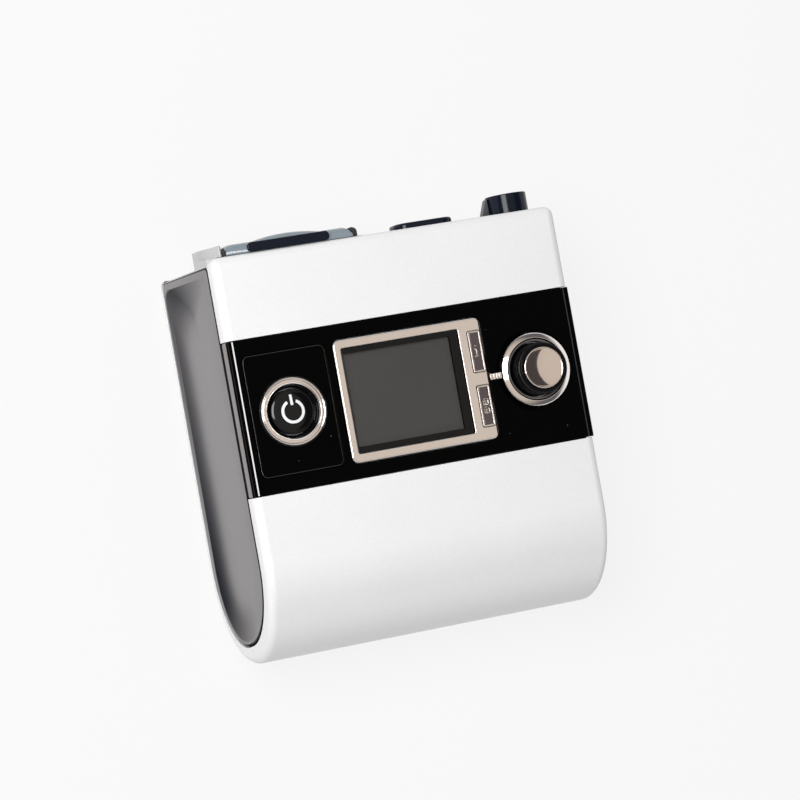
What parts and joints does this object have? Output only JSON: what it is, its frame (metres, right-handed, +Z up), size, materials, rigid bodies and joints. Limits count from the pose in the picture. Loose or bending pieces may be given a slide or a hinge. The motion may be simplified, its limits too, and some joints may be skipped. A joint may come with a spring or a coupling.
{
  "type": "cpap machine",
  "caption": "Bedside positive airway pressure machine: low case with a half-round nose, control band with screen, power button and dial, rear air outlet, filter bay and inner blower.",
  "frame": {"origin": "centre of the machine's outline seen from above, on the surface it stands on", "axes": "+Z up, +Y towards the rear with the air outlet, +X to the right for someone who faces the rounded nose"},
  "size_m": [0.14, 0.1622, 0.0862],
  "materials": {
    "silver_shell": "satin silver paint on plastic",
    "grey_plastic": "fine grained",
    "gloss_black": "piano gloss",
    "chrome_trim": "plated plastic",
    "navy_gloss": "gloss",
    "clear_blue": "translucent, glossy",
    "window": "clear, dark edge",
    "display": "dark display",
    "rubber": "matte",
    "black_plastic": "moulded",
    "steel": "turned",
    "white_plastic": "moulded",
    "circuit_board": "solder mask",
    "filter_felt": "felted",
    "foam": "open cells",
    "winding_tape": "taped",
    "capacitor_sleeve": "shrunk sleeve"
  },
  "bodies": {
    "case": {"base_shell": "silver_shell", "front_cover": "silver_shell", "rear_cover": "silver_shell", "fascia": "gloss_black", "left_side_panel": "grey_plastic", "right_side_panel": "grey_plastic", "rear_housing": "grey_plastic", "air_outlet": "navy_gloss", "filter_seal": "rubber", "card_connector": "black_plastic", "ac_inlet": "black_plastic", "dc_inlet": "black_plastic", "foot_1": "rubber", "foot_2": "rubber", "foot_3": "rubber", "foot_4": "rubber", "control_frame": "white_plastic", "screen_bezel": "chrome_trim", "screen_window": "window", "lcd_module": "display", "main_board": "circuit_board", "info_switch": "black_plastic", "menu_switch": "black_plastic", "power_switch": "black_plastic", "encoder_body": "steel", "power_plate": "gloss_black", "power_ring": "chrome_trim", "power_dish": "gloss_black", "dial_ring": "chrome_trim", "dial_link": "chrome_trim", "volute_lower": "white_plastic", "volute_upper": "white_plastic", "blower_mount_1": "rubber", "blower_mount_2": "rubber", "blower_mount_3": "rubber", "motor": "steel", "lower_bearing": "steel", "upper_bearing": "steel", "outlet_duct": "rubber", "muffler_foam": "foam", "supply_board": "circuit_board", "transformer": "winding_tape", "capacitor": "capacitor_sleeve"},
    "power_key": {"power_button": "gloss_black"},
    "info_key": {"info_button": "chrome_trim"},
    "menu_key": {"menu_button": "chrome_trim"},
    "dial_push": {"encoder_plunger": "white_plastic"},
    "dial": {"encoder_shaft": "steel", "dial_knob": "gloss_black", "dial_cap": "chrome_trim"},
    "filter_door": {"filter_cover": "clear_blue", "filter_grip": "navy_gloss", "air_filter": "filter_felt"},
    "card_door": {"card_cover": "navy_gloss"},
    "plug_clip": {"retention_clip": "black_plastic"},
    "blower_rotor": {"motor_shaft": "steel", "impeller": "white_plastic"}
  },
  "joints": [
    {"name": "power_press", "type": "slide", "parent": "case", "child": "power_key", "axis": [0, 0, -1], "range_m": [0, 0.001], "stiffness_N_per_m": 300, "springref_m": -0.002},
    {"name": "info_press", "type": "slide", "parent": "case", "child": "info_key", "axis": [0, 0, -1], "range_m": [0, 0.0006], "stiffness_N_per_m": 300, "springref_m": -0.002},
    {"name": "menu_press", "type": "slide", "parent": "case", "child": "menu_key", "axis": [0, 0, -1], "range_m": [0, 0.0006], "stiffness_N_per_m": 300, "springref_m": -0.002},
    {"name": "dial_press", "type": "slide", "parent": "case", "child": "dial_push", "axis": [0, 0, -1], "range_m": [0, 0.0008], "stiffness_N_per_m": 500, "springref_m": -0.002},
    {"name": "dial_turn", "type": "hinge", "parent": "dial_push", "child": "dial", "pos_m": [0.0508, 0.0115, 0.078], "axis": [0, 0, 1], "continuous": true},
    {"name": "filter_door_pull", "type": "slide", "parent": "case", "child": "filter_door", "axis": [0, 1, 0], "range_m": [0, 0.04]},
    {"name": "card_door_pull", "type": "slide", "parent": "case", "child": "card_door", "axis": [0, 1, 0], "range_m": [0, 0.02]},
    {"name": "plug_clip_swing", "type": "hinge", "parent": "case", "child": "plug_clip", "pos_m": [-0.036, 0.0735, 0.036], "axis": [1, 0, 0], "range_deg": [0, 120]},
    {"name": "blower_spin", "type": "hinge", "parent": "case", "child": "blower_rotor", "pos_m": [0.0276, -0.0261, 0.02], "axis": [0, 0, 1], "continuous": true}
  ]
}
